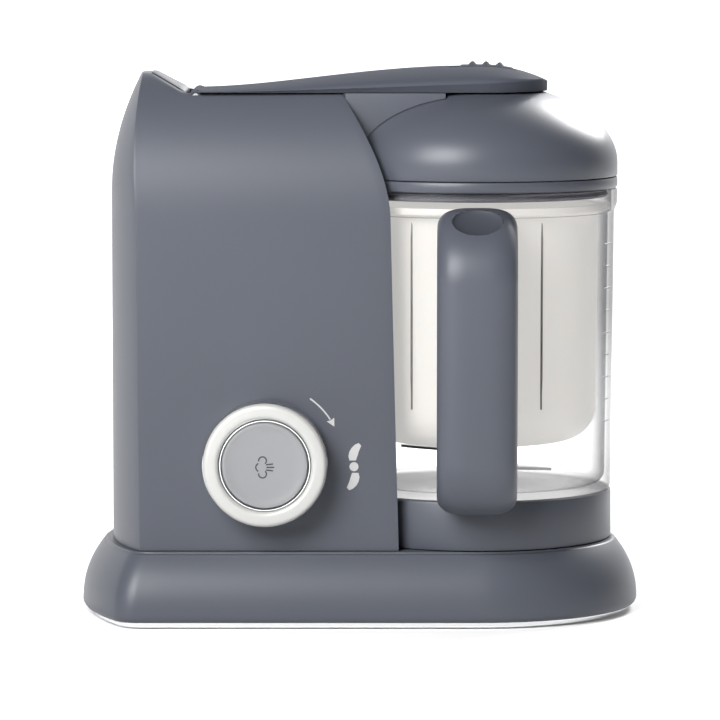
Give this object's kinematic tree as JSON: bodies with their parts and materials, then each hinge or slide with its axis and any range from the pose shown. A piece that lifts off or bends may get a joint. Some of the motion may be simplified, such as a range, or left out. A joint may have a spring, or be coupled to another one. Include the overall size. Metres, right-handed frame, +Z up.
{
  "type": "baby food maker",
  "caption": "Baby food maker: a body with boiler and motor beside a clear jug with a steam basket and a front handle, under a domed lid on a long hinged arm, with a round knob and steam button.",
  "frame": {"origin": "on the ground, under the middle of the whole object's box", "axes": "+X to the right, from the body to the jug; -Y to the front, where the knob and the handle are; +Z up"},
  "size_m": [0.265, 0.181, 0.2615],
  "materials": {
    "body_plastic": "satin slate grey moulded plastic",
    "lid_plastic": "satin slate grey moulded plastic",
    "rubber": "matt black rubber",
    "dark_plastic": "matt dark moulded plastic",
    "bright_trim": "bright silver plated",
    "knob_finish": "near-white satin metal",
    "button_finish": "satin silver metal",
    "clear_plastic": "clear polished thick plastic",
    "cream_plastic": "cream translucent plastic",
    "silicone": "pale silicone",
    "steel": "plain steel",
    "board": "green circuit board",
    "white_plastic": "white moulded plastic"
  },
  "bodies": {
    "housing": {"base_bearing": "steel", "base_screw_left": "steel", "base_screw_right": "steel", "base_shell": "body_plastic", "base_trim": "bright_trim", "blend_switch": "white_plastic", "body_housing": "body_plastic", "bottom_plate": "dark_plastic", "button_spring": "steel", "control_board": "board", "cord_gland": "rubber", "cover_screw_left": "steel", "cover_screw_right": "steel", "drive_belt": "rubber", "foot_front_left": "rubber", "foot_front_right": "rubber", "foot_rear_left": "rubber", "foot_rear_right": "rubber", "heater_plate": "steel", "hinge_cover": "body_plastic", "hinge_pin": "steel", "motor_case": "steel", "motor_mount": "rubber", "rear_cover": "body_plastic", "steam_switch": "dark_plastic", "thermostat": "white_plastic", "top_deck": "dark_plastic", "water_tank": "steel"},
    "lid": {"lid_arm": "lid_plastic", "lid_band": "lid_plastic", "lid_dome": "lid_plastic", "lid_gasket": "silicone", "lid_neck": "lid_plastic", "latch_spring": "steel", "steam_nozzle": "white_plastic", "tank_plug": "silicone"},
    "release": {"release_slider": "lid_plastic", "latch_rod": "steel"},
    "jug": {"jug_bowl": "clear_plastic", "jug_collar": "body_plastic", "jug_handle": "body_plastic", "steam_basket": "cream_plastic", "blade_bush": "steel", "bush_nut": "steel", "bush_seal": "silicone"},
    "drive": {"blade": "steel", "blade_hub": "dark_plastic", "blade_shaft": "steel", "blade_coupling": "dark_plastic", "drive_dog": "dark_plastic", "drive_shaft": "steel", "driven_pulley": "dark_plastic"},
    "motor": {"rotor_shaft": "steel", "motor_pulley": "steel", "cooling_fan": "dark_plastic"},
    "knob": {"knob_face": "knob_finish", "knob_skirt": "bright_trim", "knob_sleeve": "dark_plastic"},
    "button": {"steam_button": "button_finish", "button_stem": "dark_plastic"}
  },
  "joints": [
    {"name": "lid_hinge", "type": "hinge", "parent": "housing", "child": "lid", "pos_m": [-0.077, 0.0135, 0.2458], "axis": [0, -1, 0], "range_deg": [0, 90]},
    {"name": "latch_slide", "type": "slide", "parent": "lid", "child": "release", "axis": [-1, 0, 0], "range_m": [0, 0.005], "stiffness_N_per_m": 200, "springref_m": -0.002, "deforming": ["latch_spring"]},
    {"name": "jug_twist", "type": "hinge", "parent": "housing", "child": "jug", "pos_m": [0.0555, 0.0135, 0.0353], "axis": [0, 0, 1], "range_deg": [0, 30]},
    {"name": "blade_spin", "type": "hinge", "parent": "housing", "child": "drive", "pos_m": [0.0555, 0.0135, 0.04], "axis": [0, 0, 1], "continuous": true},
    {"name": "rotor_spin", "type": "hinge", "parent": "housing", "child": "motor", "pos_m": [-0.055, 0.0215, 0.06], "axis": [0, 0, 1], "continuous": true},
    {"name": "knob_turn", "type": "hinge", "parent": "housing", "child": "knob", "pos_m": [-0.044, -0.048, 0.077], "axis": [0, 1, 0], "range_deg": [0, 40], "stiffness_Nm_per_rad": 0.05},
    {"name": "steam_press", "type": "slide", "parent": "housing", "child": "button", "axis": [0, 1, 0], "range_m": [0, 0.002], "stiffness_N_per_m": 400}
  ],
  "couplings": [
    {"joint": "rotor_spin", "follows": "blade_spin", "ratio": 2.4444}
  ]
}
